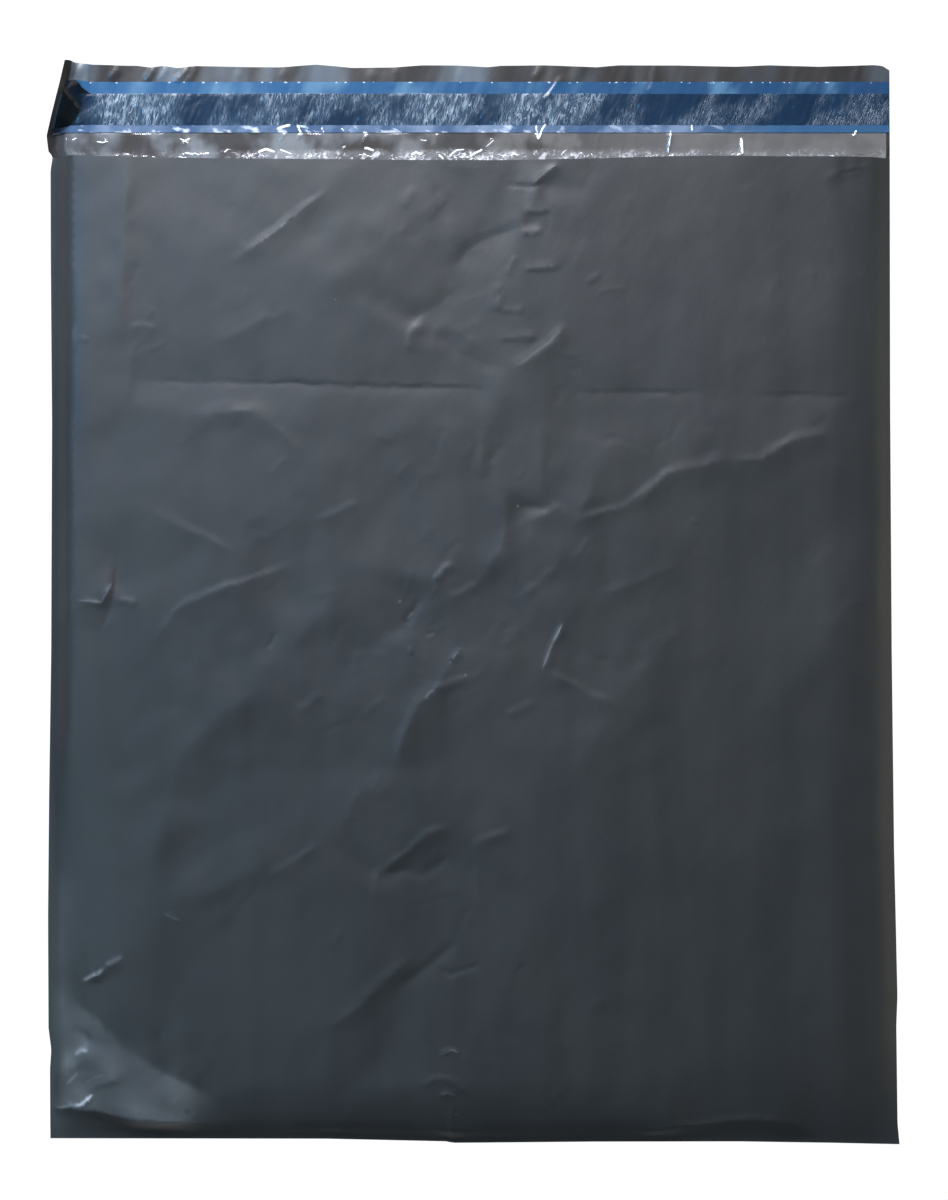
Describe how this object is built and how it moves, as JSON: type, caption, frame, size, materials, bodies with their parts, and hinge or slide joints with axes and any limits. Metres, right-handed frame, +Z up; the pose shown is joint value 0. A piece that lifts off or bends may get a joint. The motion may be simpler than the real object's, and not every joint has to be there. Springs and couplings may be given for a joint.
{
  "type": "poly mailer",
  "caption": "Flat film mailing bag lying on its back, open at the mouth, with an adhesive flap under a release liner.",
  "frame": {"origin": "on the surface that the bag lies on, under the middle of its outline", "axes": "+X across the bag, +Y along its length from the bottom fold to the flap, +Z up out of the front panel"},
  "size_m": [0.35, 0.4474, 0.0123],
  "materials": {
    "film": "satin dark grey polyethylene film, creased",
    "adhesive": "tacky clear hot-melt band, dark over the film",
    "liner": "translucent blue release film, crinkled",
    "clear_film": "hazy clear film, puckered at its lower edge"
  },
  "bodies": {
    "root": {"bag_film": "film", "adhesive_band": "adhesive", "release_liner": "liner", "clear_strip": "clear_film"}
  },
  "joints": []
}
